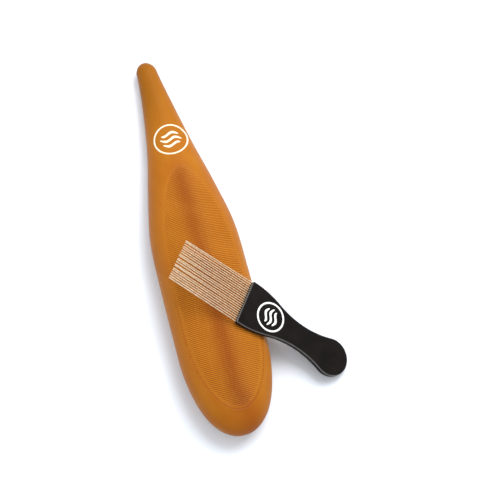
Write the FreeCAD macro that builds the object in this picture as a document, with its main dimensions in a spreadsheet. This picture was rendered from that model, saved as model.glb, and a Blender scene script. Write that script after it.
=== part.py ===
"""Gourd-shaped moulded guiro lying on its back, with its wire scraper leaning on it.

Frame: +Z up, +Y towards the neck tip, +X to the side where the scraper leans.
The origin is on the table, in the mouth of the upper finger hole.
Distances along the guiro are given from the neck tip, and Body.y turns them into y.
"""
import FreeCAD, Part
import math
import os
import Sketcher
from FreeCAD import Placement, Rotation, Vector

DIMENSIONS = {
    # guiro shell
    "guiro_length": 450.0,
    "belly_from_tip": 270.0,
    "wall_thickness": 3.6,
    "tip_round_length": 12.0,
    "bottom_round_length": 94.0,
    "tip_bend": 5.3,
    "tip_bend_length": 155.0,
    # ridged field
    "field_half_width": 42.2,
    "field_shift": 4.2,
    "field_start": 138.5,
    "field_end": 424.0,
    "field_start_round": 135.0,
    "field_end_round": 92.0,
    "field_recess": 0.5,
    "ridge_pitch": 2.12,
    "groove_width": 1.06,
    "groove_depth": 0.8,
    "groove_end_margin": 1.5,
    # finger holes and the tape inside the seam
    "finger_hole_radius": 13.0,
    "finger_collar_radius": 16.5,
    "finger_collar_height": 10.0,
    "upper_finger_hole": 195.0,
    "lower_finger_hole": 305.0,
    "seam_leg": 6.0,
    "tape_half_width": 7.0,
    "tape_thickness": 1.2,
    "tape_gap": 0.3,
    "tape_start": 12.0,
    "tape_end": 425.0,
    # scraper
    "handle_length": 141.8,
    "handle_half_width": 27.4,
    "handle_straight": 3.0,
    "handle_thickness": 7.0,
    "handle_edge_round": 1.6,
    "front_corner_round": 2.0,
    "waist_from_front": 76.5,
    "waist_half_width": 14.4,
    "lobe_radius": 22.0,
    "tine_count": 20,
    "tine_pitch": 2.74,
    "tine_radius": 0.65,
    "tine_free_length": 89.0,
    "tine_root_length": 9.0,
    "tine_hole_length": 10.0,
    "tine_glue_gap": 0.05,
    "tine_splay_deg": 0.28,
    "tine_gather_deg": 0.6,
    # how the scraper lies
    "lean_deg": 31.0,
    "plan_angle_deg": 49.9,
    "front_from_tip": 311.6,
    "resting_gap": 0.1,
    "lobe_float": 0.05,
}

# Distance from the neck tip, then half width, half depth and height of the widest line.
STATIONS = (
    (0.0, 11.0, 10.0, 15.0),
    (22.0, 12.85, 11.6, 15.8),
    (60.0, 18.2, 15.0, 18.4),
    (110.0, 26.8, 20.4, 23.2),
    (165.0, 39.2, 27.2, 28.6),
    (215.0, 48.7, 31.8, 32.2),
    (270.0, 50.5, 33.0, 33.0),
    (350.0, 50.3, 33.0, 33.0),
    (400.0, 50.0, 33.0, 32.0),
    (450.0, 53.0, 33.0, 29.5),
)


def make_sheet(doc):
    """Puts every driving dimension in the spreadsheet and returns the sheet."""
    sheet = doc.addObject("Spreadsheet::Sheet", "Dimensions")
    for row, (name, value) in enumerate(DIMENSIONS.items(), start=1):
        sheet.set("A%d" % row, name)
        sheet.set("B%d" % row, str(value))
        sheet.setAlias("B%d" % row, name)
    doc.recompute()
    return sheet


def hermite(table, column, at):
    """Smooth value of one STATIONS column, with a slope at each station from its neighbours."""
    last = len(table) - 1

    def slope(k):
        before = table[max(k - 1, 0)]
        after = table[min(k + 1, last)]
        return (after[column] - before[column]) / (after[0] - before[0])

    k = 0
    while k < last - 1 and at > table[k + 1][0]:
        k += 1
    span = table[k + 1][0] - table[k][0]
    u = (at - table[k][0]) / span
    start = (2 * u ** 3 - 3 * u ** 2 + 1) * table[k][column]
    end = (3 * u ** 2 - 2 * u ** 3) * table[k + 1][column]
    lead = (u ** 3 - 2 * u ** 2 + u) * span * slope(k)
    tail = (u ** 3 - u ** 2) * span * slope(k + 1)
    return start + end + lead + tail


def end_round(distance, round_length):
    """Share of the full width at a distance inside an elliptical end."""
    if distance >= round_length:
        return 1.0
    return math.sqrt(max(0.0, 1.0 - (1.0 - distance / round_length) ** 2))


class Body:
    """The guiro's outer form: elliptical sections along a slightly bent centre line."""

    def __init__(self, sheet):
        self.length = sheet.guiro_length
        self.sheet = sheet

    def y(self, at):
        return self.sheet.upper_finger_hole - at

    def ends(self, at):
        tip = end_round(at, self.sheet.tip_round_length)
        bottom = end_round(self.length - at, self.sheet.bottom_round_length)
        return tip * bottom

    def centre(self, at):
        """Point on the centre line, level with the seam."""
        bend = max(0.0, 1.0 - at / self.sheet.tip_bend_length)
        x = -self.sheet.tip_bend * bend ** 2
        return Vector(x, self.y(at), hermite(STATIONS, 3, at))

    def half_width(self, at):
        return hermite(STATIONS, 1, at) * self.ends(at)

    def half_depth(self, at):
        return hermite(STATIONS, 2, at) * self.ends(at)

    def top_slope(self, at):
        """Angle of the front line above level, rising away from the neck."""
        step = 1.0
        here = self.centre(at).z + self.half_depth(at)
        beyond = self.centre(at + step).z + self.half_depth(at + step)
        return math.atan((beyond - here) / step)

    def distances(self):
        """Distances of the loft's sections, close together in the rounded ends.

        The first and last sections are small flats, left where the mould was filled.
        """
        tip = self.sheet.tip_round_length
        bottom = self.sheet.bottom_round_length
        tip_angles = (8, 20, 35, 52, 70, 90)
        bottom_angles = (90, 74, 59, 45, 32, 20, 11, 5)
        first = [tip * (1 - math.cos(math.radians(a))) for a in tip_angles]
        last = [self.length - bottom * (1 - math.cos(math.radians(a))) for a in bottom_angles]
        count = 13
        step = (last[0] - first[-1]) / (count + 1)
        middle = [first[-1] + step * (k + 1) for k in range(count)]
        return first + middle + last

    def half(self, inset, side, leg):
        """Upper (side 1) or lower (side -1) half of the form, moved inwards by inset.

        Straight legs carry the half past the seam by leg, so that it can cut another half.
        """
        wires = []
        scale = (self.length - 2 * inset) / self.length
        for at in self.distances():
            centre = self.centre(at)
            centre.y = self.y(at * scale + inset)
            shrink = inset * self.ends(at)
            wide = self.half_width(at) - shrink
            deep = self.half_depth(at) - shrink
            wires.append(half_section(centre, wide, deep, side, leg))
        return Part.makeLoft(wires, True, False)

    def strip(self, side):
        """Tape along one side of the seam, inside the wall."""
        wires = []
        outside = self.sheet.wall_thickness + self.sheet.tape_gap
        inside = outside + self.sheet.tape_thickness
        for at in self.distances():
            if self.sheet.tape_start <= at <= self.sheet.tape_end:
                wires.append(self.strip_section(at, side, outside, inside))
        return Part.makeLoft(wires, True, False)

    def strip_section(self, at, side, outside, inside):
        centre = self.centre(at)
        wide = self.half_width(at)
        deep = self.half_depth(at)
        spread = math.asin(self.sheet.tape_half_width / (deep + self.sheet.tape_half_width))
        middle = 0.0 if side > 0 else math.pi
        arcs = []
        for inset in (outside, inside):
            ellipse = Part.Ellipse(Vector(0, 0, 0), wide - inset, deep - inset)
            edge = ellipse.toShape(middle - spread, middle + spread)
            edge.Placement = Placement(centre, Rotation(Vector(1, 0, 0), 90))
            arcs.append(edge)
        ends = [Part.makeLine(arcs[0].Vertexes[k].Point, arcs[1].Vertexes[k].Point) for k in (0, 1)]
        return Part.Wire([arcs[0], ends[1], arcs[1], ends[0]])


def half_section(centre, wide, deep, side, leg):
    """Half an ellipse across the length, closed by a chord at the seam or past it."""
    ellipse = Part.Ellipse(Vector(0, 0, 0), wide, deep)
    start = 0.0 if side > 0 else math.pi
    arc = ellipse.toShape(start, start + math.pi)
    arc.Placement = Placement(centre, Rotation(Vector(1, 0, 0), 90))
    first = arc.Vertexes[0].Point
    last = arc.Vertexes[-1].Point
    if leg == 0:
        return Part.Wire([arc, Part.makeLine(last, first)])
    down = Vector(0, 0, -side * leg)
    corners = [last, last + down, first + down, first]
    lines = [Part.makeLine(corners[k], corners[k + 1]) for k in range(3)]
    return Part.Wire([arc] + lines)


def field_half_width(sheet, at):
    """Half width of the ridged field at a distance from the neck tip."""
    if not sheet.field_start < at < sheet.field_end:
        return 0.0
    start = end_round(at - sheet.field_start, sheet.field_start_round)
    end = end_round(sheet.field_end - at, sheet.field_end_round)
    return sheet.field_half_width * start * end


def field_column(sheet, body):
    """Upright column over the ridged field's long oval."""
    count = 15
    span = sheet.field_end - sheet.field_start
    steps = [0.5 * span * (1 - math.cos(math.pi * k / count)) for k in range(count + 1)]
    sides = []
    for side in (1, -1):
        points = []
        for step in steps:
            at = sheet.field_start + step
            x = sheet.field_shift + side * field_half_width(sheet, at)
            points.append(Vector(x, body.y(at), 0))
        curve = Part.BSplineCurve()
        curve.interpolate(points)
        sides.append(curve.toShape())
    face = Part.Face(Part.Wire(sides))
    belly = body.centre(sheet.belly_from_tip)
    column = face.extrude(Vector(0, 0, 2 * body.half_depth(sheet.belly_from_tip)))
    column.translate(Vector(0, 0, belly.z))
    return column


def ridge_slots(sheet, body):
    """One thin block per groove, square to the front line where it crosses it."""
    slots = []
    clear_above = 12.0
    at = sheet.field_start + sheet.ridge_pitch
    while at < sheet.field_end - sheet.groove_end_margin:
        half = field_half_width(sheet, at) - sheet.groove_end_margin
        slope = body.top_slope(at)
        top = body.centre(at).z + body.half_depth(at)
        if half > sheet.groove_end_margin:
            depth = body.half_depth(at)
            slot = Part.makeBox(
                2 * half, sheet.groove_width, depth + clear_above,
                Vector(-half, -sheet.groove_width / 2, -depth),
            )
            turn = Rotation(Vector(1, 0, 0), -math.degrees(slope))
            slot.Placement = Placement(Vector(sheet.field_shift, body.y(at), top), turn)
            slots.append(slot)
        at += sheet.ridge_pitch * math.cos(slope)
    return slots


def add_feature(doc, label, shape):
    feature = doc.addObject("Part::Feature", label)
    feature.Label = label
    feature.Shape = shape
    return feature


def make_front_shell(doc, sheet, body):
    """Ridged half: the field is sunk a little, and the grooves are sunk below that."""
    leg = sheet.seam_leg
    shell = body.half(0.0, 1, 0).cut(body.half(sheet.wall_thickness, 1, leg))
    field_floor = body.half(sheet.field_recess, 1, leg)
    groove_floor = body.half(sheet.field_recess + sheet.groove_depth, 1, leg)
    shell = shell.cut(field_column(sheet, body).cut(field_floor))
    grooves = Part.makeCompound(ridge_slots(sheet, body)).cut(groove_floor)
    return add_feature(doc, "front_shell", shell.cut(grooves))


def make_back_shell(doc, sheet, body):
    """Plain half, with two finger holes that have a collar inside."""
    below = 1.0
    outer = body.half(0.0, -1, 0)
    shell = outer.cut(body.half(sheet.wall_thickness, -1, sheet.seam_leg))
    height = sheet.finger_collar_height + below
    for at in (sheet.upper_finger_hole, sheet.lower_finger_hole):
        foot = Vector(0, body.y(at), -below)
        collar = Part.makeCylinder(sheet.finger_collar_radius, height, foot).common(outer)
        hole = Part.makeCylinder(sheet.finger_hole_radius, 2 * height, foot)
        shell = shell.fuse(collar).cut(hole)
    return add_feature(doc, "back_shell", shell)


def make_tapes(doc, body):
    """Glass tape laid inside along both sides of the seam."""
    sides = (("seam_tape_left", -1), ("seam_tape_right", 1))
    return [add_feature(doc, label, body.strip(side)) for label, side in sides]


def scraper_placement(sheet, body):
    """The handle's underside rests on the belly's shoulder and its lobe on the table.

    The scraper's own frame has +X from the tines to the lobe, with zero at the handle's
    front edge, and +Z out of its face.
    """
    lean = math.radians(sheet.lean_deg)
    slope = math.tan(lean)
    belly = body.centre(sheet.belly_from_tip)
    wide = body.half_width(sheet.belly_from_tip)
    deep = body.half_depth(sheet.belly_from_tip)
    middle = sheet.handle_thickness / 2
    rise = belly.z + math.hypot(wide * slope, deep) + (sheet.resting_gap + middle) / math.cos(lean)

    edge = sheet.handle_edge_round
    lobe_z = (sheet.lobe_radius - edge) * math.sin(lean) + (middle - edge) * math.cos(lean) + edge
    lobe_z += sheet.lobe_float
    lobe_x = (rise - lobe_z) / slope
    plan = math.radians(sheet.plan_angle_deg)
    reach = sheet.handle_length - sheet.lobe_radius
    front_x = lobe_x - reach * math.sin(plan) * math.cos(lean)
    front = Vector(front_x, body.y(sheet.front_from_tip), rise - slope * front_x)

    across = Vector(math.cos(lean), 0, -math.sin(lean))
    along = across * math.sin(plan) + Vector(0, -math.cos(plan), 0)
    normal = Vector(math.sin(lean), 0, math.cos(lean))
    return Placement(front, Rotation(along, normal.cross(along), normal, "ZXY"))


def tine_placement(sheet, index):
    """Where one tine starts in the scraper's frame.

    The row gathers a little towards its tips, and each tine leans a little its own way.
    """
    middle = (sheet.tine_count - 1) / 2
    side = (index - middle) * sheet.tine_pitch
    sideways = sheet.tine_splay_deg * math.sin(2.7 * index + 0.6)
    sideways += sheet.tine_gather_deg * (index - middle) / middle
    upright = sheet.tine_splay_deg * math.cos(4.1 * index)
    aim = Rotation(Vector(0, 0, 1), sideways).multiply(Rotation(Vector(0, 1, 0), upright))
    lie = aim.multiply(Rotation(Vector(0, 1, 0), -90))
    root = Placement(Vector(0, side, 0), lie)
    back = Placement(Vector(0, 0, -sheet.tine_root_length), Rotation())
    return root.multiply(back)


def handle_sketch(sheet, body_object):
    """Outline: straight front, rounded shoulders, hollow waist and a round lobe."""
    plane = [f for f in body_object.Origin.OriginFeatures if f.Role == "XY_Plane"][0]
    sketch = body_object.newObject("Sketcher::SketchObject", "handle_outline")
    sketch.AttachmentSupport = (plane, [""])
    sketch.MapMode = "FlatFace"

    lobe_x = sheet.handle_length - sheet.lobe_radius
    waist_x = sheet.waist_from_front
    run = lobe_x - waist_x
    waist_y = sheet.waist_half_width
    lobe = sheet.lobe_radius
    waist = (run ** 2 + waist_y ** 2 - lobe ** 2) / (2 * (lobe - waist_y))
    drop = sheet.handle_half_width - waist_y
    start_x = sheet.handle_straight
    both = ((waist_x - start_x) ** 2 + drop ** 2) / (2 * drop)
    shoulder = both - waist

    waist_centre = Vector(waist_x, waist_y + waist, 0)
    shoulder_centre = Vector(start_x, sheet.handle_half_width - shoulder, 0)
    lobe_centre = Vector(lobe_x, 0, 0)
    meet = shoulder_centre + (waist_centre - shoulder_centre) * (shoulder / both)
    leave = lobe_centre + (waist_centre - lobe_centre) * (lobe / (lobe + waist))

    def angle(centre, point):
        return math.atan2(point.y - centre.y, point.x - centre.x)

    def arc(centre, radius, first, last):
        circle = Part.Circle(centre, Vector(0, 0, 1), radius)
        return Part.ArcOfCircle(circle, first, last)

    def mirror(point):
        return Vector(point.x, -point.y, 0)

    corner = Vector(0, sheet.handle_half_width, 0)
    shoulder_start = Vector(start_x, sheet.handle_half_width, 0)
    quarter = math.pi / 2
    meet_angle = angle(shoulder_centre, meet)
    leave_angle = angle(lobe_centre, leave)
    waist_to_lobe = angle(waist_centre, leave)
    waist_to_shoulder = angle(waist_centre, meet)
    sketch.addGeometry([
        Part.LineSegment(mirror(corner), corner),
        Part.LineSegment(corner, shoulder_start),
        arc(shoulder_centre, shoulder, meet_angle, quarter),
        arc(waist_centre, waist, waist_to_shoulder, waist_to_lobe),
        arc(lobe_centre, lobe, -leave_angle, leave_angle),
        arc(mirror(waist_centre), waist, -waist_to_lobe, -waist_to_shoulder),
        arc(mirror(shoulder_centre), shoulder, -quarter, -meet_angle),
        Part.LineSegment(mirror(shoulder_start), mirror(corner)),
    ], False)
    return sketch


def make_handle(doc, sheet, place):
    """Moulded paddle handle, with one blind hole per tine in its front edge."""
    blank = doc.addObject("PartDesign::Body", "handle_blank")
    sketch = handle_sketch(sheet, blank)
    pad = blank.newObject("PartDesign::Pad", "handle_pad")
    pad.Profile = sketch
    pad.setExpression("Length", "Dimensions.handle_thickness")
    pad.Midplane = True
    sketch.Visibility = False
    doc.recompute()

    upright = [
        "Edge%d" % (k + 1) for k, edge in enumerate(pad.Shape.Edges)
        if edge.Length < sheet.handle_thickness * 1.01
        and all(abs(v.X) < 0.01 for v in edge.Vertexes)
    ]
    corners = blank.newObject("PartDesign::Fillet", "front_corners")
    corners.Base = (pad, upright)
    corners.setExpression("Radius", "Dimensions.front_corner_round")
    doc.recompute()

    rims = [
        "Edge%d" % (k + 1) for k, edge in enumerate(corners.Shape.Edges)
        if abs(abs(edge.CenterOfMass.z) - sheet.handle_thickness / 2) < 0.01
    ]
    softened = blank.newObject("PartDesign::Fillet", "softened_edges")
    softened.Base = (corners, rims)
    softened.setExpression("Radius", "Dimensions.handle_edge_round")
    blank.Tip = softened
    doc.recompute()

    drills = []
    for index in range(int(sheet.tine_count)):
        drill = doc.addObject("Part::Cylinder", "tine_hole_%02d" % (index + 1))
        drill.setExpression("Radius", "Dimensions.tine_radius + Dimensions.tine_glue_gap")
        drill.setExpression("Height", "Dimensions.tine_hole_length")
        drill.Placement = tine_placement(sheet, index)
        drills.append(drill)
    holes = doc.addObject("Part::MultiFuse", "tine_holes")
    holes.Shapes = drills
    handle = doc.addObject("Part::Cut", "scraper_handle")
    handle.Base = blank
    handle.Tool = holes
    handle.Label = "scraper_handle"
    handle.Placement = place
    return handle


def make_tines(doc, sheet, place):
    """Straight round wires in a row, each set in its own hole."""
    tines = []
    for index in range(int(sheet.tine_count)):
        label = "tine_%02d" % (index + 1)
        tine = doc.addObject("Part::Cylinder", label)
        tine.Label = label
        tine.setExpression("Radius", "Dimensions.tine_radius")
        tine.setExpression("Height", "Dimensions.tine_root_length + Dimensions.tine_free_length")
        tine.Placement = place.multiply(tine_placement(sheet, index))
        tines.append(tine)
    return tines


def check(doc, parts):
    for item in doc.Objects:
        if "Invalid" in item.State or "Error" in item.State:
            raise RuntimeError("%s did not rebuild: %s" % (item.Label, item.State))
    for item in parts:
        shape = item.Shape
        if shape.isNull() or not shape.isValid() or not shape.Solids:
            raise RuntimeError("%s has no valid solid" % item.Label)
        print("%-16s solids %d  volume %9.1f mm3" % (item.Label, len(shape.Solids), shape.Volume))


def main():
    doc = FreeCAD.newDocument("guiro")
    sheet = make_sheet(doc)
    body = Body(sheet)
    place = scraper_placement(sheet, body)
    parts = [make_front_shell(doc, sheet, body), make_back_shell(doc, sheet, body)]
    parts += make_tapes(doc, body)
    parts.append(make_handle(doc, sheet, place))
    parts += make_tines(doc, sheet, place)
    doc.recompute()
    check(doc, parts)
    os.makedirs("parts", exist_ok=True)
    for item in parts:
        item.Shape.exportStep("parts/%s.step" % item.Label)


main()
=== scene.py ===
import bpy
import math
import numpy as np
from mathutils import Matrix, Vector


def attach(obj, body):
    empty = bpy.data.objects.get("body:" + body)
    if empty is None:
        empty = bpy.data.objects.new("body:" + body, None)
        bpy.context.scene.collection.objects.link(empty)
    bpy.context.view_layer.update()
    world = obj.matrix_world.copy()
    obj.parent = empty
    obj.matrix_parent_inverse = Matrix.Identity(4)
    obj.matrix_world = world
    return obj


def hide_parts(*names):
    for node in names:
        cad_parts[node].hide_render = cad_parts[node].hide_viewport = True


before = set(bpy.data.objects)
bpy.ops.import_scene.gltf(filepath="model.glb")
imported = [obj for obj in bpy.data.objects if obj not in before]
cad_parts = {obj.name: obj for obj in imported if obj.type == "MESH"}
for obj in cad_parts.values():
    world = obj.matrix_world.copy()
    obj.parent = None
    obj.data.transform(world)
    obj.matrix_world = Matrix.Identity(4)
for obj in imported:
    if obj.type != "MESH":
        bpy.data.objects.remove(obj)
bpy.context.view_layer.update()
MM = 0.001

# The guiro's form, in millimetres, at the stations that the CAD shells are lofted through:
# distance from the neck tip, half width, half depth and height of the seam.
STATIONS = np.array((
    (0.0, 11.0, 10.0, 15.0),
    (22.0, 12.85, 11.6, 15.8),
    (60.0, 18.2, 15.0, 18.4),
    (110.0, 26.8, 20.4, 23.2),
    (165.0, 39.2, 27.2, 28.6),
    (215.0, 48.7, 31.8, 32.2),
    (270.0, 50.5, 33.0, 33.0),
    (350.0, 50.3, 33.0, 33.0),
    (400.0, 50.0, 33.0, 32.0),
    (450.0, 53.0, 33.0, 29.5),
))
LENGTH = 450.0
TIP_Y = 195.0
TIP_ROUND, BOTTOM_ROUND = 12.0, 94.0
TIP_BEND, TIP_BEND_LENGTH = 5.3, 155.0
WALL = 3.6
# The rounding of each end stops short by this angle, at a small flat cap.
TIP_FLAT, BOTTOM_FLAT = math.radians(8.0), math.radians(5.0)
# Distance of the widest section, and how deep and wide the eased edges at the seam are.
BELLY = 270.0
SEAM_EASE, SEAM_EASE_ANGLE = 0.28, 0.018

# The ridged field: its outline in plan, its recess, its grooves and the raised rim round its
# lower part.
FIELD_START, FIELD_END = 138.5, 424.0
FIELD_START_ROUND, FIELD_END_ROUND = 135.0, 92.0
FIELD_HALF_WIDTH, FIELD_SHIFT = 42.2, 4.2
FIELD_RECESS = 0.5
RIDGE_PITCH, GROOVE_DEPTH, GROOVE_SHAPE = 2.12, 0.8, 1.15
GROOVE_END_MARGIN, GROOVE_END_FADE = 1.5, 3.5
RIM_START, RIM_FADE = 130.0, 60.0
WANDER_SEED, DEPTH_SEED, STREAK_SEED = 3, 8, 5

# Colour streaks: the reddish streak down the crown, partly pigment and partly painted shade, its
# widening at the bottom end, which is painted shade, and the neck darkened by painted shade.
CROWN_X, CROWN_WIDTH = 3.0, 10.5
CROWN_START, CROWN_FADE = 120.0, 40.0
LOW_END_START, LOW_END_FADE = 395.0, 40.0
LOW_END_SHIFT, LOW_END_WIDENING = 8.0, 5.0
NECK_END, NECK_FADE = 118.0, 80.0

HOLE_RADIUS, HOLE_LIP = 13.0, 2.6
COLLAR_RADIUS, COLLAR_TOP, COLLAR_ROUND = 16.5, 10.0, 1.0
HOLE_Y = (0.0, -110.0)

# What cuts a finger hole: how far it goes past the lip, below the table and above the collar.
SKIRT_WIDTH, SKIRT_DROP = 4.0, 1.3
CORE_BOTTOM, CORE_OVERRUN = -6.0, 4.0

# Fineness of the shells' meshes. Rows are evenly spaced along the field and these margins.
MARGIN_ABOVE, MARGIN_BELOW = 6.0, 4.0
FRONT_ROWS_PER_RIDGE, BACK_ROWS_PER_RIDGE = 5.3, 0.6
TIP_ROWS, NECK_ROWS, BOTTOM_ROWS = 15, 46, 22
FRONT_COLUMNS, BACK_COLUMNS, INNER_COLUMNS = 92, 60, 20
HOLE_SIDES = 96
SEAM_CREASE, HOLE_CREASE = math.radians(75.0), math.radians(38.0)

# The prints: heights of a band of ink from edge to edge, then sizes and places.
INK_LEVELS = (0.01, 0.07, 0.08, 0.07, 0.01)
NECK_PRINT_RADIUS, NECK_PRINT_STROKE = 20.0, 2.0
NECK_PRINT_X, NECK_PRINT_AT, NECK_PRINT_SQUASH = 2.7, 105.8, 0.96
HANDLE_PRINT_RADIUS, HANDLE_PRINT_STROKE, HANDLE_PRINT_AT = 17.3, 2.1, 34.7
RING_SECTIONS, RIPPLE_SECTIONS = 96, 49
TINE_ROOT_LENGTH, HANDLE_THICKNESS = 9.0, 7.0


# ---------------------------------------------------------------- the guiro's form

def station(at, column):
    """Smooth value of one column of STATIONS at distances from the tip."""
    knots = STATIONS[:, 0]
    values = STATIONS[:, column]
    slopes = np.gradient(values, knots)
    slopes[1:-1] = (values[2:] - values[:-2]) / (knots[2:] - knots[:-2])
    k = np.clip(np.searchsorted(knots, at, side="right") - 1, 0, len(knots) - 2)
    span = knots[k + 1] - knots[k]
    u = (at - knots[k]) / span
    start = (2 * u ** 3 - 3 * u ** 2 + 1) * values[k]
    end = (3 * u ** 2 - 2 * u ** 3) * values[k + 1]
    lead = (u ** 3 - 2 * u ** 2 + u) * span * slopes[k]
    tail = (u ** 3 - u ** 2) * span * slopes[k + 1]
    return start + end + lead + tail


def end_round(distance, length):
    """Elliptical rounding: 0 at an end, and 1 from the given length on."""
    share = np.clip(distance / length, 0.0, 1.0)
    return np.sqrt(1.0 - (1.0 - share) ** 2)


def section(at):
    """Centre x, seam height, half width and half depth at distances from the tip."""
    ends = end_round(at, TIP_ROUND) * end_round(LENGTH - at, BOTTOM_ROUND)
    bend = np.clip(1.0 - at / TIP_BEND_LENGTH, 0.0, 1.0)
    return -TIP_BEND * bend ** 2, station(at, 3), station(at, 1) * ends, station(at, 2) * ends


def surface(at, angle):
    """Points of the smooth outer form; angle 0 is the seam at +X and 90 degrees is the top."""
    centre_x, seam, wide, deep = section(at)
    x = centre_x + wide * np.cos(angle)
    z = seam + deep * np.sin(angle)
    return np.stack((x, TIP_Y - at, z), axis=-1)


def outward(at, angle):
    """Unit normals of the smooth outer form."""
    step, turn = 0.05, 0.001
    at = np.clip(at, 2 * step, LENGTH - 2 * step)
    along = surface(at + step, angle) - surface(at - step, angle)
    around = surface(at, angle + turn) - surface(at, angle - turn)
    normal = np.cross(around, along)
    return normal / np.linalg.norm(normal, axis=-1, keepdims=True)


def smooth(value):
    """Eased step from 0 to 1."""
    value = np.clip(value, 0.0, 1.0)
    return value * value * (3.0 - 2.0 * value)


def field_half_width(at):
    """Half width of the ridged field at distances from the tip, 0 outside it."""
    inside = (at > FIELD_START) & (at < FIELD_END)
    start = end_round(at - FIELD_START, FIELD_START_ROUND)
    end = end_round(FIELD_END - at, FIELD_END_ROUND)
    return np.where(inside, FIELD_HALF_WIDTH * start * end, 0.0)


def field_depth_inside(x, at):
    """Signed distance in plan from the ridged field's edge, positive inside."""
    turn = np.linspace(0.0, math.pi, 120)
    edge_at = FIELD_START + (FIELD_END - FIELD_START) * (0.5 - 0.5 * np.cos(turn))
    half = field_half_width(edge_at)
    edge_x = np.concatenate((FIELD_SHIFT + half, FIELD_SHIFT - half))
    edge_at = np.concatenate((edge_at, edge_at))
    nearest = np.full(x.shape, np.inf)
    for ex, ea in zip(edge_x, edge_at):
        nearest = np.minimum(nearest, (x - ex) ** 2 + (at - ea) ** 2)
    inside = np.abs(x - FIELD_SHIFT) < field_half_width(at)
    return np.where(inside, 1.0, -1.0) * np.sqrt(nearest)


def top_line(at):
    """Height and slope of the front line, and the length along it from the field's start."""
    step = 0.5
    grid = np.arange(FIELD_START - 40.0, FIELD_END + 25.0, step)
    height = station(grid, 3) + section(grid)[3]
    slope = np.gradient(height, step)
    run = np.cumsum(np.sqrt(1.0 + slope ** 2)) * step
    run -= np.interp(FIELD_START, grid, run)
    return np.interp(at, grid, height), np.interp(at, grid, slope), np.interp(at, grid, run)


def ripple(x, y, seed):
    """Slow, seeded variation between about -1 and 1."""
    rng = np.random.default_rng(seed)
    total = np.zeros_like(x)
    for k in range(6):
        length = 30.0 + 14.0 * k
        angle, phase = rng.uniform(0, 2 * math.pi, 2)
        total += np.sin((x * math.cos(angle) + y * math.sin(angle)) * 2 * math.pi / length + phase)
    return total / 3.0


def ridges(points, at):
    """How far each point of the front sinks, then its shares in the order of SHARES.

    Each groove lies in a plane square to the front line, so it bows over the crowned face.
    """
    x, z = points[..., 0], points[..., 2]
    foot = at.copy()
    for _ in range(5):
        height, slope, _ = top_line(foot)
        foot = at + (z - height) * slope
    run = top_line(foot)[2]
    wander = 0.07 * ripple(x, at, WANDER_SEED) * RIDGE_PITCH
    phase = (run + wander) / RIDGE_PITCH
    groove = (0.5 + 0.5 * np.cos(2 * math.pi * phase)) ** GROOVE_SHAPE

    # The step down into the field is soft near its start and sharp lower down.
    inside = field_depth_inside(x, at)
    down = at - FIELD_START
    step_width = 1.0 + 11.0 * (1.0 - smooth((down - 60.0) / 110.0))
    recess = FIELD_RECESS * smooth(inside / step_width)
    rim = smooth((down - RIM_START) / RIM_FADE)
    bead = 0.20 * np.exp(-((inside + 1.1) / 0.8) ** 2) * rim
    strength = smooth((inside - GROOVE_END_MARGIN) / GROOVE_END_FADE)
    strength = strength * (1.0 + 0.12 * ripple(x, at, DEPTH_SEED))
    unfilled = 0.92
    sink = recess - bead + GROOVE_DEPTH * np.clip(strength, 0.0, 1.1) * groove * unfilled
    strength = np.clip(strength, 0.0, 1.0)
    # Painted shade: a dark line just inside the field's edge, put with the grooves into the groove
    # share.
    border = 0.75 * np.exp(-((inside - 0.5) / 0.7) ** 2) * rim
    return sink, np.maximum(groove * strength, border), smooth(strength), *pigment_and_painted_shade(x, at)


def pigment_and_painted_shade(x, at):
    """Shares of the reddish streak down the crown, partly pigment and partly painted shade, and of
    the neck darkened by painted shade, most on its -X side.
    """
    # Painted shade: the streak widens and shifts towards the bottom end.
    low_end = smooth((at - LOW_END_START) / LOW_END_FADE)
    centre = CROWN_X + LOW_END_SHIFT * low_end
    width = CROWN_WIDTH + LOW_END_WIDENING * low_end
    streak = np.exp(-((x - centre) / width) ** 2) * smooth((at - CROWN_START) / CROWN_FADE)
    # Painted shade on the neck, strongest on its -X side.
    neck = smooth((NECK_END - at) / NECK_FADE) * (0.45 + 0.55 * smooth((9.0 - x) / 16.0))
    return streak * (0.9 + 0.1 * ripple(x, at, STREAK_SEED)), neck


# ---------------------------------------------------------------- mesh helpers

def make_object(name, vertices, faces, material, attributes=None):
    """Mesh object from points in millimetres, smooth shaded."""
    mesh = bpy.data.meshes.new(name)
    mesh.from_pydata((np.asarray(vertices) * MM).tolist(), [], faces)
    for key, values in (attributes or {}).items():
        layer = mesh.attributes.new(key, "FLOAT", "POINT")
        layer.data.foreach_set("value", np.asarray(values, np.float32))
    mesh.polygons.foreach_set("use_smooth", [True] * len(mesh.polygons))
    mesh.validate()
    mesh.materials.append(material)
    piece = bpy.data.objects.new(name, mesh)
    bpy.context.scene.collection.objects.link(piece)
    return piece


def grid_faces(rows, columns, start, flip):
    """Quads of a grid whose points are numbered row by row from the start."""
    faces = []
    for r in range(rows - 1):
        for c in range(columns - 1):
            a = start + r * columns + c
            quad = (a, a + 1, a + columns + 1, a + columns)
            faces.append(quad[::-1] if flip else quad)
    return faces


# ---------------------------------------------------------------- materials

# Point attributes of the shells, each from 0 to 1. The front shell's material reads them.
SHARES = ("groove", "field", "crown", "neck")


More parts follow.
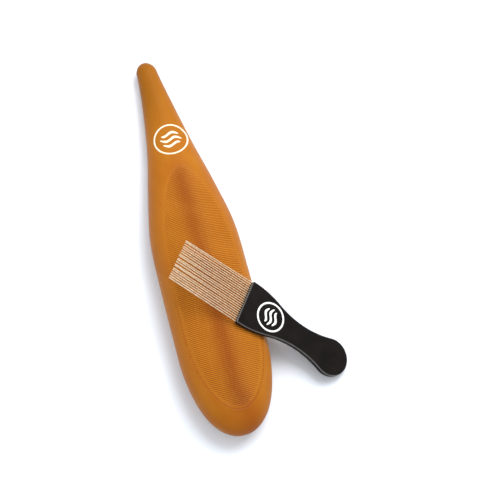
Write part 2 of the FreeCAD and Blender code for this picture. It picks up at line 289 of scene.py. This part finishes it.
class Shader:
    """A material under construction: nodes by type, and links by socket name."""

    def __init__(self, name):
        self.material = bpy.data.materials.new(name)
        self.material.use_nodes = True
        self.tree = self.material.node_tree
        self.bsdf = self.tree.nodes["Principled BSDF"]
        self.coords = self.tree.nodes.new("ShaderNodeTexCoord").outputs["Object"]

    def node(self, kind, **values):
        """New node; a value goes to the input socket of its name, or else to that setting."""
        node = self.tree.nodes.new("ShaderNode" + kind)
        for key, value in values.items():
            if key in node.inputs:
                self.put(value, node.inputs[key])
            else:
                setattr(node, key, value)
        return node

    def put(self, value, socket):
        """Links an output socket, or sets a constant."""
        if isinstance(value, bpy.types.NodeSocket):
            self.tree.links.new(value, socket)
        else:
            socket.default_value = value

    def scaled(self, stretch):
        return self.node("Mapping", Vector=self.coords, Scale=stretch).outputs["Vector"]

    def noise(self, scale, detail=3.0, stretch=(1, 1, 1)):
        node = self.node("TexNoise", Vector=self.scaled(stretch), Scale=scale, Detail=detail)
        return node.outputs["Fac"]

    def ramp(self, fac, stops):
        """Colour ramp; each stop is a position and a colour or a grey level."""
        node = self.node("ValToRGB", Fac=fac)
        ramp = node.color_ramp
        while len(ramp.elements) < len(stops):
            ramp.elements.new(0.5)
        for element, (position, colour) in zip(ramp.elements, stops):
            element.position = position
            element.color = (*colour, 1.0) if isinstance(colour, tuple) else (colour,) * 3 + (1.0,)
        return node.outputs["Color"]

    def blend(self, fac, first, second):
        """Mixes two colours; a Mix node's colour sockets are inputs 6 and 7 and output 2."""
        node = self.tree.nodes.new("ShaderNodeMix")
        node.data_type = "RGBA"
        self.put(fac, node.inputs[0])
        self.put(first, node.inputs[6])
        self.put(second, node.inputs[7])
        return node.outputs[2]

    def math(self, operation, first, second):
        node = self.tree.nodes.new("ShaderNodeMath")
        node.operation = operation
        self.put(first, node.inputs[0])
        self.put(second, node.inputs[1])
        return node.outputs[0]

    def attribute(self, name):
        return self.node("Attribute", attribute_name=name).outputs["Fac"]

    def bump(self, height, strength, distance, normal=None):
        node = self.node("Bump", Height=height, Strength=strength, Distance=distance)
        if normal is not None:
            self.put(normal, node.inputs["Normal"])
        return node.outputs["Normal"]

    def finish(self, **sockets):
        """Sets the shader's sockets, whose spaces are written as underscores."""
        for key, value in sockets.items():
            self.put(value, self.bsdf.inputs[key.replace("_", " ")])
        return self.material


def shell_material(name, ridged):
    """Amber gelcoat over glass fibre: mottled gelcoat colour, orange peel, worn ridge crests, and
    on the ridged front painted shade in the grooves, on the neck and partly in the crown's streak.
    """
    s = Shader(name)
    deep = (0.370, 0.115, 0.0075, 1.0)
    amber = (0.410, 0.139, 0.0090, 1.0)
    honey = (0.450, 0.170, 0.0135, 1.0)
    fibre = (0.22, 0.060, 0.003, 1.0)
    cloudy = s.ramp(s.noise(14.0, 4.0, (1, 0.45, 1)), ((0.36, 0.0), (0.66, 1.0)))
    colour = s.blend(cloudy, deep, amber)
    patches = s.ramp(s.noise(34.0, 3.0, (1, 0.6, 1)), ((0.48, 0.0), (0.72, 0.6)))
    colour = s.blend(patches, colour, honey)
    fibres = s.noise(620.0, 2.0, (1.0, 0.25, 1.0))
    colour = s.blend(s.math("MULTIPLY", fibres, 0.14), colour, fibre)
    rough = s.math("ADD", s.math("MULTIPLY", s.noise(90.0, 4.0), 0.16), 0.36)
    peel = s.bump(s.noise(900.0, 2.0), 0.14, 0.0004)
    wave = s.bump(s.noise(120.0, 3.0), 0.12, 0.0012, peel)
    if ridged:
        neck_shade = (0.262, 0.090, 0.0050, 1.0)
        golden = (0.585, 0.222, 0.0160, 1.0)
        reddish = (0.300, 0.074, 0.0055, 1.0)
        groove_shade = (0.19, 0.040, 0.002, 1.0)
        straw = (0.68, 0.31, 0.05, 1.0)
        groove, field, crown, neck = (s.attribute(share) for share in SHARES)
        # Painted shade on the neck, deepest on its -X side.
        colour = s.blend(s.math("MULTIPLY", neck, 0.85), colour, neck_shade)
        colour = s.blend(s.math("MULTIPLY", field, 0.62), colour, golden)
        # The crown's streak: partly redder pigment, partly painted shade.
        colour = s.blend(s.math("MULTIPLY", crown, 0.86), colour, reddish)
        # Painted shade in the grooves and along the field's edge.
        colour = s.blend(s.math("MULTIPLY", groove, 0.88), colour, groove_shade)
        drag = s.ramp(s.noise(420.0, 3.0, (1.0, 0.06, 1.0)), ((0.50, 0.0), (0.75, 1.0)))
        crest = s.math("MULTIPLY", field, s.math("SUBTRACT", 1.0, groove))
        worn = s.math("MULTIPLY", s.math("MULTIPLY", drag, crest), 0.18)
        colour = s.blend(worn, colour, straw)
        rough = s.math("ADD", rough, s.math("MULTIPLY", field, 0.08))
    return s.finish(
        Base_Color=colour, Roughness=rough, Normal=wave, IOR=1.5,
        Specular_IOR_Level=0.10, Coat_Weight=0.02, Coat_Roughness=0.25,
    )


def handle_material(face_normal):
    """Black moulded plastic with a fine spark-eroded grain, and paler rounded edges that are a
    painted highlight.
    """
    s = Shader("handle_black")
    black, charcoal = (0.0050, 0.0038, 0.0036), (0.0090, 0.0068, 0.0064)
    speck, edge_highlight_grey = (0.022, 0.020, 0.019, 1.0), (0.15, 0.145, 0.14, 1.0)
    tone = s.ramp(s.noise(60.0, 5.0), ((0.35, black), (0.7, charcoal)))
    specks = s.ramp(s.noise(1500.0, 1.0), ((0.70, 0.0), (0.78, 0.5)))
    colour = s.blend(specks, tone, speck)
    scuffs = s.ramp(s.noise(240.0, 4.0, (0.16, 0.16, 1.0)), ((0.45, 0.34), (0.7, 0.52)))
    grain = s.bump(s.noise(2400.0, 2.0), 0.22, 0.0002)

    # The mask is 0 on the flat faces and on the sides, and highest on the rounded edges between,
    # where it paints a pale highlight and raises the gloss.
    turned = s.tree.nodes.new("ShaderNodeVectorMath")
    turned.operation = "DOT_PRODUCT"
    s.put(s.node("NewGeometry").outputs["Normal"], turned.inputs[0])
    turned.inputs[1].default_value = face_normal
    flatness = s.math("ABSOLUTE", turned.outputs["Value"], 0.0)
    edge = s.math("MULTIPLY", s.math("MULTIPLY", flatness, s.math("SUBTRACT", 1.0, flatness)), 4.0)
    highlight_breakup = s.math("ADD", s.math("MULTIPLY", s.noise(160.0, 3.0), 0.7), 0.45)
    edge = s.math("MINIMUM", s.math("MULTIPLY", s.math("POWER", edge, 1.6), highlight_breakup), 1.0)
    # Painted highlight: the rounded edges turn pale grey.
    colour = s.blend(edge, colour, edge_highlight_grey)
    rough = s.math("SUBTRACT", scuffs, s.math("MULTIPLY", edge, 0.12))
    shine = s.math("ADD", 0.06, s.math("MULTIPLY", edge, 0.6))
    return s.finish(
        Base_Color=colour, Roughness=rough, Normal=grain, IOR=1.5, Specular_IOR_Level=shine,
    )


def wire_material():
    """Drawn steel wire: lengthwise draw marks and a faint warm tarnish."""
    s = Shader("drawn_wire")
    bright, dull = (0.88, 0.71, 0.51), (0.66, 0.49, 0.32)
    tarnish = s.ramp(s.noise(300.0, 4.0), ((0.35, bright), (0.75, dull)))
    marks = s.math("ADD", s.math("MULTIPLY", s.noise(2600.0, 2.0), 0.18), 0.26)
    draw = s.bump(s.noise(3000.0, 2.0), 0.12, 0.0001)
    return s.finish(Base_Color=tarnish, Roughness=marks, Normal=draw, Metallic=1.0)


def tape_material():
    """Resin-soaked woven glass tape."""
    s = Shader("glass_tape")
    warp = s.node("TexWave", Vector=s.coords, Scale=160.0, Distortion=1.0).outputs["Fac"]
    resin, glass = (0.30, 0.22, 0.10), (0.60, 0.50, 0.30)
    colour = s.ramp(s.math("MULTIPLY", warp, s.noise(200.0)), ((0.1, resin), (0.7, glass)))
    return s.finish(Base_Color=colour, Roughness=0.45, Normal=s.bump(warp, 0.4, 0.0004))


def print_material(name, ink, fade):
    """Screen-printed ink: slightly uneven cover, fine pinholes."""
    s = Shader(name)
    cover = s.ramp(s.noise(900.0, 3.0), ((0.30, 0.0), (0.44, 1.0)))
    colour = s.blend(cover, fade, ink)
    rough = s.math("ADD", s.math("MULTIPLY", s.noise(400.0), 0.2), 0.35)
    return s.finish(Base_Color=colour, Roughness=rough, Normal=s.bump(s.noise(1200.0), 0.1, 0.0002))


# ---------------------------------------------------------------- guiro shells

def row_distances(rows_per_ridge):
    """Distances of the rows: even over the ridged field, bunched in the rounded ends."""
    above, below = FIELD_START - MARGIN_ABOVE, FIELD_END + MARGIN_BELOW
    tip = TIP_ROUND * (1 - np.cos(np.linspace(TIP_FLAT, math.pi / 2, TIP_ROWS)))
    neck = np.linspace(TIP_ROUND, above, NECK_ROWS)[1:]
    field = np.linspace(above, below, int((below - above) / RIDGE_PITCH * rows_per_ridge))[1:]
    turn = np.arccos(1 - (LENGTH - below) / BOTTOM_ROUND)
    turns = np.linspace(turn, BOTTOM_FLAT, BOTTOM_ROWS)
    bottom = LENGTH - BOTTOM_ROUND * (1 - np.cos(turns))[1:]
    return np.concatenate((tip, neck, field, bottom))


def column_angles(count, side):
    """Angles across half the form, even along the belly's arc, with two extra by each seam."""
    turn = np.linspace(0.0, math.pi, 2000)
    _, _, wide, deep = section(np.array([BELLY]))
    step = np.hypot(wide * np.sin(turn), deep * np.cos(turn))
    run = np.concatenate(([0.0], np.cumsum(0.5 * (step[1:] + step[:-1]))))
    run *= turn[1]
    even = np.linspace(0.0, run[-1], count)
    extra = np.array([0.35, 0.9])
    wanted = np.concatenate((even[:1], extra, even[1:-1], run[-1] - extra[::-1], even[-1:]))
    return side * np.interp(wanted, run, turn)


def seam_relief(angles):
    """The edges of both halves are eased, so the glued seam shows as a fine line."""
    edge = np.minimum(np.abs(angles), math.pi - np.abs(angles))
    return SEAM_EASE * np.exp(-(edge / SEAM_EASE_ANGLE) ** 2)


def shell_mesh(name, side, rows_per_ridge, columns, material, sink_function=None):
    """Closed half shell, side 1 the front and -1 the back; only its outer face is carved."""
    at = row_distances(rows_per_ridge)
    angles = column_angles(columns, side)
    grid_at, grid_angle = np.meshgrid(at, angles, indexing="ij")
    outer = surface(grid_at, grid_angle)
    normal = outward(grid_at, grid_angle)
    shares = np.zeros((len(SHARES),) + grid_at.shape)
    sink = seam_relief(grid_angle)
    if sink_function:
        carved, *shares = sink_function(outer, grid_at)
        sink = sink + carved
    sink = sink * smooth(section(grid_at)[2] / 3.0)
    outer = outer - normal * sink[..., None]

    inner_angles = column_angles(INNER_COLUMNS, side)
    inner_at = at * (LENGTH - 2 * WALL) / LENGTH + WALL
    in_at, in_angle = np.meshgrid(at, inner_angles, indexing="ij")
    centre_x, seam, wide, deep = section(in_at)
    shrink = WALL * end_round(in_at, TIP_ROUND) * end_round(LENGTH - in_at, BOTTOM_ROUND)
    inner = np.stack((
        centre_x + (wide - shrink) * np.cos(in_angle),
        TIP_Y - np.broadcast_to(inner_at[:, None], in_at.shape),
        seam + (deep - shrink) * np.sin(in_angle),
    ), axis=-1)

    # The outer and the inner face.
    rows, wide_count, inner_count = len(at), len(angles), len(inner_angles)
    start = rows * wide_count
    faces = grid_faces(rows, wide_count, 0, flip=side < 0)
    faces += grid_faces(rows, inner_count, start, flip=side > 0)
    # The wall's edge along the seam.
    for r in range(rows - 1):
        for c, inner_c in ((0, 0), (wide_count - 1, inner_count - 1)):
            a, b = r * wide_count + c, (r + 1) * wide_count + c
            d, e = start + r * inner_count + inner_c, start + (r + 1) * inner_count + inner_c
            quad = (a, b, e, d)
            faces.append(quad if (c == 0) == (side > 0) else quad[::-1])
    # Each end: flat caps on the outer and the inner face, and the wall's edge between them.
    for r in (0, rows - 1):
        outer_row = list(range(r * wide_count, (r + 1) * wide_count))
        inner_row = list(range(start + r * inner_count, start + (r + 1) * inner_count))
        seam_face = [outer_row[0], inner_row[0], inner_row[-1], outer_row[-1]]
        for face in (outer_row[::-1], inner_row, seam_face):
            faces.append(face if (r == 0) == (side > 0) else face[::-1])
    vertices = np.concatenate((outer.reshape(-1, 3), inner.reshape(-1, 3)))
    plain = np.zeros(rows * inner_count)
    layers = {key: np.concatenate((share.ravel(), plain)) for key, share in zip(SHARES, shares)}
    shell = make_object(name, vertices, faces, material, layers)
    shell.data.set_sharp_from_angle(angle=SEAM_CREASE)
    return shell


def apply_modifiers(piece):
    """Turns a piece's modifiers into plain mesh."""
    depsgraph = bpy.context.evaluated_depsgraph_get()
    mesh = bpy.data.meshes.new_from_object(piece.evaluated_get(depsgraph))
    piece.modifiers.clear()
    old = piece.data
    piece.data = mesh
    bpy.data.meshes.remove(old)


def back_height(x, y):
    """Height of the smooth back's outer face above the table."""
    centre_x, seam, wide, deep = section(TIP_Y - y)
    return seam - deep * np.sqrt(1.0 - ((x - centre_x) / wide) ** 2)


def turned_solid(name, hole_y, profile, tubular, material):
    """Solid turned round a finger hole.

    Each ring of the profile is a radius, a height, and if that is above the back's outer face.
    A tubular solid's last ring meets its first one, and any other solid has two flat ends.
    """
    count = HOLE_SIDES
    turn = np.linspace(0.0, 2 * math.pi, count, endpoint=False)
    vertices = []
    for radius, height, from_face in profile:
        x, y = radius * np.cos(turn), hole_y + radius * np.sin(turn)
        z = height + (back_height(x, y) if from_face else 0.0)
        vertices.append(np.stack((x, y, np.broadcast_to(z, x.shape)), axis=-1))
    faces = []
    for ring in range(len(profile) if tubular else len(profile) - 1):
        here, upper = ring * count, (ring + 1) % len(profile) * count
        for k in range(count):
            following = (k + 1) % count
            faces.append((here + k, here + following, upper + following, upper + k))
    if not tubular:
        last = (len(profile) - 1) * count
        faces.append(tuple(range(count))[::-1])
        faces.append(tuple(range(last, last + count)))
    return make_object(name, np.concatenate(vertices), faces, material)


def collar(hole_y, material):
    """Tube round a finger hole, from inside the wall up to an eased rim."""
    ease = np.linspace(0.0, math.pi / 2, 6)
    profile = [(COLLAR_RADIUS, 0.5 * WALL, True)]
    for a in ease:
        radius = COLLAR_RADIUS - COLLAR_ROUND * (1.0 - math.cos(a))
        profile.append((radius, COLLAR_TOP - COLLAR_ROUND * (1.0 - math.sin(a)), False))
    inside = HOLE_RADIUS - 1.0
    profile += [(inside, COLLAR_TOP, False), (inside, 0.5 * WALL, True)]
    return turned_solid("collar", hole_y, profile, True, material)


def hole_core(hole_y, material):
    """What the hole takes out: a bore whose mouth flares into a rounded lip."""
    mouth = []
    for a in np.linspace(math.radians(72.0), 0.0, 10):
        radius = HOLE_RADIUS + HOLE_LIP * (1.0 - math.cos(a))
        mouth.append((radius, HOLE_LIP * (1.0 - math.sin(a)), True))
    lip_radius, lip_height, _ = mouth[0]
    skirt_radius = lip_radius + SKIRT_WIDTH
    beside = (skirt_radius, lip_height - SKIRT_DROP, True)
    below = (skirt_radius, CORE_BOTTOM, False)
    above = (HOLE_RADIUS, COLLAR_TOP + CORE_OVERRUN, False)
    return turned_solid("core", hole_y, [below, beside] + mouth + [above], False, material)


def combine(piece, tool, operation):
    """Joins the tool to the piece or cuts it out, and deletes the tool."""
    modifier = piece.modifiers.new(operation, "BOOLEAN")
    modifier.operation = operation
    modifier.solver = "EXACT"
    modifier.object = tool
    bpy.context.view_layer.update()
    apply_modifiers(piece)
    bpy.data.objects.remove(tool)


def back_shell_mesh(material):
    """Back half shell with its collars and finger holes."""
    back = shell_mesh("back_shell_fine", -1, BACK_ROWS_PER_RIDGE, BACK_COLUMNS, material)
    for hole_y in HOLE_Y:
        combine(back, collar(hole_y, material), "UNION")
    for hole_y in HOLE_Y:
        combine(back, hole_core(hole_y, material), "DIFFERENCE")
    back.data.set_sharp_from_angle(angle=HOLE_CREASE)
    return back


# ---------------------------------------------------------------- prints

def badge_strokes(radius, stroke):
    """Flat outline of the mark: a plain ring round three ripples.

    A stroke is its left edge, its right edge and if its last section meets its first one.
    """
    turn = np.linspace(0.0, 2 * math.pi, RING_SECTIONS, endpoint=False)
    ring = np.stack((np.cos(turn), np.sin(turn)), axis=-1)
    strokes = [((radius - stroke) * ring, radius * ring, True)]
    for row in (-1, 0, 1):
        half = radius * (0.62 - 0.12 * abs(row))
        x = np.linspace(-half, half, RIPPLE_SECTIONS)
        wave = 0.10 * radius * np.sin(x / radius * 6.0 + 0.6 * row)
        y = row * radius * 0.34 + wave
        thick = 0.085 * radius * np.sqrt(1.0 - 0.96 * (x / half) ** 4)
        strokes.append((np.stack((x, y + thick), -1), np.stack((x, y - thick), -1), False))
    return strokes


def badge(name, radius, stroke, place, material):
    """Lays the mark on a surface as thin closed bands of ink.

    The place function turns a flat point and a height above the surface into a point in space.
    """
    vertices, faces = [], []
    corners = len(INK_LEVELS)
    for left, right, closed in badge_strokes(radius, stroke):
        start, count = len(vertices), len(left)
        for a, b in zip(left, right):
            middle = 0.5 * (a + b)
            for flat, lift in zip((a, a, middle, b, b), INK_LEVELS):
                vertices.append(place(flat[0], flat[1], lift))
        for index in range(count if closed else count - 1):
            here = start + index * corners
            following = start + (index + 1) % count * corners
            for k in range(corners):
                after = (k + 1) % corners
                faces.append((here + k, here + after, following + after, following + k))
        if not closed:
            last = start + (count - 1) * corners
            faces.append(tuple(range(start, start + corners))[::-1])
            faces.append(tuple(range(last, last + corners)))
    return make_object(name, vertices, faces, material)


def neck_place(u, v, lift):
    """Point of the neck's print, laid on the front shell."""
    at = np.array(NECK_PRINT_AT - v * NECK_PRINT_SQUASH)
    mid_x, _, wide, _ = section(at)
    angle = np.array(math.acos(max(-1.0, min(1.0, (NECK_PRINT_X + u - mid_x) / wide))))
    return surface(at, angle) + outward(at, angle) * lift


def tine_ends(node):
    """Middle of a tine's tip and of its root."""
    near = 1.0
    points = np.array([vertex.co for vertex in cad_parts[node].data.vertices]) / MM
    middle = points.mean(0)
    axis = np.linalg.svd(points - middle, full_matrices=False)[2][0]
    run = (points - middle) @ axis
    first = points[run < run.min() + near].mean(0)
    last = points[run > run.max() - near].mean(0)
    return (first, last) if first[0] < last[0] else (last, first)


def handle_frame():
    """The tine roots' middle, and the handle's axes: along, across and out of its face."""
    tip_a, root_a = tine_ends("tine_01")
    tip_b, root_b = tine_ends("tine_20")
    tips, roots = (tip_a + tip_b) / 2, (root_a + root_b) / 2
    along = (roots - tips) / np.linalg.norm(roots - tips)
    across = root_b - root_a
    across -= along * (across @ along)
    across /= np.linalg.norm(across)
    normal = np.cross(along, across)
    if normal[2] < 0:
        across, normal = -across, -normal
    return roots, along, across, normal


# ---------------------------------------------------------------- build

def paint(node, material):
    """Gives a CAD node its material."""
    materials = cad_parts[node].data.materials
    materials.clear()
    materials.append(material)


def build_guiro():
    """Fine half shells, the neck's print and the tapes' material."""
    amber = shell_material("amber_ridged", True)
    plain = shell_material("amber_plain", False)
    front = shell_mesh(
        "front_shell_fine", 1, FRONT_ROWS_PER_RIDGE, FRONT_COLUMNS, amber, ridges,
    )
    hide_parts("front_shell")
    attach(front, "guiro")
    back = back_shell_mesh(plain)
    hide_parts("back_shell")
    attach(back, "guiro")

    ink = print_material("cream_ink", (0.86, 0.78, 0.60, 1.0), (0.72, 0.42, 0.14, 1.0))
    mark = badge("neck_print", NECK_PRINT_RADIUS, NECK_PRINT_STROKE, neck_place, ink)
    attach(mark, "guiro")
    tape = tape_material()
    paint("seam_tape_left", tape)
    paint("seam_tape_right", tape)


def build_scraper():
    """Materials of the handle and the tines, and the handle's print."""
    roots, along, across, normal = handle_frame()
    paint("scraper_handle", handle_material(normal))
    wire = wire_material()
    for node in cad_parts:
        if node.startswith("tine_"):
            paint(node, wire)
    front = roots - along * TINE_ROOT_LENGTH
    centre = front + along * HANDLE_PRINT_AT + normal * (0.5 * HANDLE_THICKNESS)

    def place(u, v, lift):
        return centre + along * v - across * u + normal * lift

    ink = print_material("white_ink", (0.90, 0.90, 0.89, 1.0), (0.60, 0.60, 0.59, 1.0))
    mark = badge("handle_print", HANDLE_PRINT_RADIUS, HANDLE_PRINT_STROKE, place, ink)
    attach(mark, "scraper")


# ---------------------------------------------------------------- studio

def area_light(name, place, target, size, power):
    """White rectangular light that faces its target."""
    data = bpy.data.lights.new(name, "AREA")
    data.shape = "RECTANGLE"
    data.size, data.size_y = size
    data.energy = power
    light = bpy.data.objects.new(name, data)
    light.location = place
    light.rotation_euler = (Vector(target) - Vector(place)).to_track_quat("-Z", "Y").to_euler()
    bpy.context.scene.collection.objects.link(light)


def studio():
    """Plain pale floor, white surroundings and four soft lights."""
    floor_drop = 0.0006
    mesh = bpy.data.meshes.new("floor")
    half = 3.0
    corners = [(-half, -half, 0), (half, -half, 0), (half, half, 0), (-half, half, 0)]
    mesh.from_pydata(corners, [], [(0, 1, 2, 3)])
    s = Shader("floor_white")
    mesh.materials.append(s.finish(Base_Color=(0.85, 0.91, 0.99, 1), Roughness=0.9))
    floor = bpy.data.objects.new("floor", mesh)
    floor.location = (0, 0, -floor_drop)
    bpy.context.scene.collection.objects.link(floor)

    world = bpy.data.worlds.new("studio")
    bpy.context.scene.world = world
    world.use_nodes = True
    background = world.node_tree.nodes["Background"]
    background.inputs["Color"].default_value = (1, 1, 1, 1)
    background.inputs["Strength"].default_value = 0.50

    middle = (0.03, -0.03, 0.02)
    area_light("overhead", (0.05, 0.10, 1.75), middle, (1.7, 1.7), 10.0)
    area_light("key", (0.66, 0.48, 1.55), middle, (0.9, 0.9), 25.0)
    area_light("box_left", (-1.05, 0.1, 0.85), middle, (0.5, 1.6), 3.5)
    area_light("box_right", (1.15, 0.1, 0.85), middle, (0.6, 1.6), 3.0)
    bpy.context.scene.view_settings.view_transform = "Standard"


def camera():
    """Looks down on the guiro, a little from its bottom end and from its left."""
    target = Vector((0.0579, -0.0557, 0.030))
    distance = 1.60
    lean_left = math.radians(3.0)
    lean_down = math.radians(12.0)
    roll = math.radians(15.0)
    back = Vector((
        -math.sin(lean_left),
        -math.sin(lean_down) * math.cos(lean_left),
        math.cos(lean_down) * math.cos(lean_left),
    ))
    along = Vector((0, 1, 0))
    along = (along - back * along.dot(back)).normalized()
    across = along.cross(back)
    right = across * math.cos(roll) - along * math.sin(roll)
    up = across * math.sin(roll) + along * math.cos(roll)
    data = bpy.data.cameras.new("camera")
    data.lens, data.sensor_width = 102.4, 36.0
    cam = bpy.data.objects.new("camera", data)
    turn = Matrix((right, up, back)).transposed().to_4x4()
    cam.matrix_world = Matrix.Translation(target + back * distance) @ turn
    bpy.context.scene.collection.objects.link(cam)
    bpy.context.scene.camera = cam


build_guiro()
build_scraper()
studio()
camera()
bpy.context.view_layer.update()
